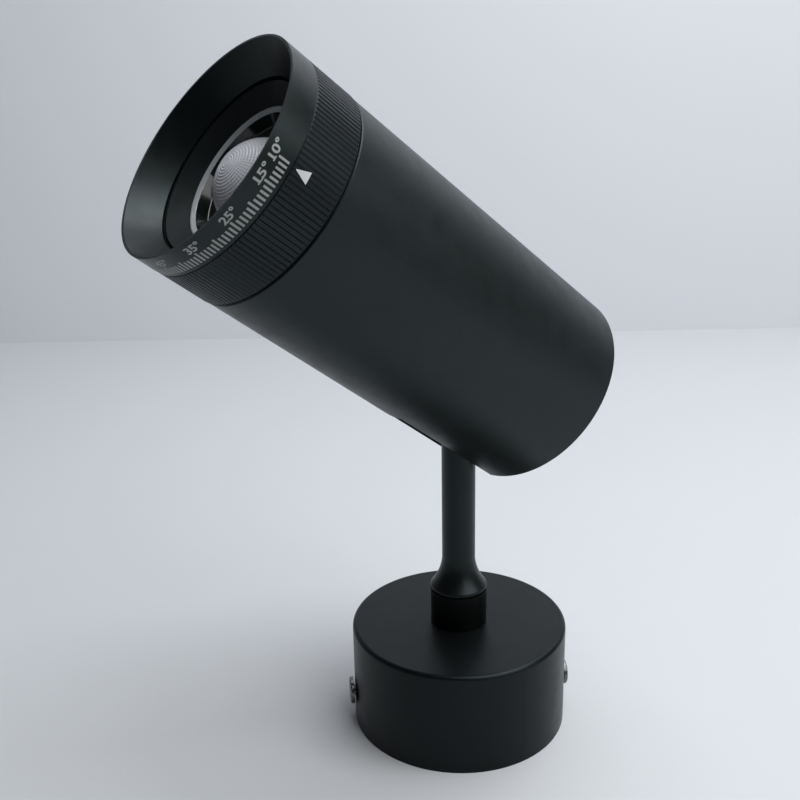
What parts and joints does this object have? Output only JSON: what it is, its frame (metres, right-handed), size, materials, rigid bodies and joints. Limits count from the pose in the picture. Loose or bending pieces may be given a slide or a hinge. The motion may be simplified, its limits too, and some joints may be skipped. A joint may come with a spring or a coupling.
{
  "type": "zoom spotlight",
  "caption": "Surface spotlight: round canopy, swivel stem and a tilting tube head with a hood, a knurled zoom ring and a domed lens on a sliding carriage.",
  "frame": {"origin": "centre of the canopy's flat mounting face", "axes": "+Z out of the mounting face, up the stem; the head tilts about X, and at rest its beam points towards -Y and 37.8 degrees above the XY plane"},
  "size_m": [0.08, 0.1659, 0.2488],
  "materials": {
    "black_steel": "satin",
    "black_aluminium": "satin",
    "zinc_steel": "satin",
    "bare_aluminium": "satin",
    "white_plastic": "matte",
    "bush_plastic": "matte",
    "foam_pad": "matte",
    "silicone": "matte",
    "wire_red": "satin",
    "phosphor": "satin",
    "clear_lens": "gloss",
    "brass_pin": "satin"
  },
  "bodies": {
    "canopy": {"canopy_shell": "black_steel", "mounting_bracket": "zinc_steel", "side_thumb_screws": "zinc_steel", "driver_pad": "foam_pad", "driver_case": "white_plastic", "terminal_block": "white_plastic", "terminal_screws": "zinc_steel", "driver_leads": "wire_red", "earth_screw": "zinc_steel", "swivel_collar": "black_aluminium", "swivel_bushes": "bush_plastic", "collar_washer": "zinc_steel", "wave_washer": "zinc_steel", "collar_nut": "zinc_steel", "stop_peg": "zinc_steel"},
    "stem": {"stem_tube": "black_aluminium", "stem_foot": "black_aluminium", "stem_knuckle": "zinc_steel", "stop_collar": "zinc_steel", "stem_nut": "zinc_steel", "stem_washer": "zinc_steel"},
    "head": {"body_tube": "black_aluminium", "rear_cap": "black_aluminium", "rear_cap_screws": "zinc_steel", "spacer_posts": "bare_aluminium", "pivot_bracket": "bare_aluminium", "pivot_bolt": "zinc_steel", "pivot_nut": "zinc_steel", "spring_washer": "zinc_steel", "friction_washers": "bush_plastic", "heat_sink": "bare_aluminium", "heat_sink_screws": "zinc_steel", "thermal_pad": "silicone", "led_board": "bare_aluminium", "led_emitter": "phosphor", "led_holder": "white_plastic", "led_holder_screws": "zinc_steel", "led_leads": "wire_red", "inner_barrel": "black_aluminium", "barrel_screws": "zinc_steel", "thrust_washer": "zinc_steel", "scale_ring": "black_aluminium"},
    "zoom_ring": {"knurled_ring": "black_aluminium"},
    "lens_carriage": {"lens_carrier": "black_aluminium", "guide_pins": "brass_pin", "lens_gasket": "silicone", "zoom_lens": "clear_lens", "lens_trim_ring": "black_aluminium"}
  },
  "joints": [
    {"name": "stem_swivel", "type": "hinge", "parent": "canopy", "child": "stem", "pos_m": [0, 0, 0.0457], "axis": [0, 0, 1], "range_deg": [-165, 165]},
    {"name": "head_tilt", "type": "hinge", "parent": "stem", "child": "head", "pos_m": [0, 0, 0.1507], "axis": [1, 0, 0], "range_deg": [-52.2, 37.8]},
    {"name": "zoom_turn", "type": "hinge", "parent": "head", "child": "zoom_ring", "pos_m": [0, -0.07483, 0.20874], "axis": [0, 0.7902, -0.6129], "range_deg": [0, 111.5]},
    {"name": "lens_slide", "type": "slide", "parent": "head", "child": "lens_carriage", "axis": [0, 0.7902, -0.6129], "range_m": [0, 0.0121]}
  ],
  "couplings": [
    {"joint": "lens_slide", "follows": "zoom_turn", "m_per_rad": 0.0061664}
  ]
}
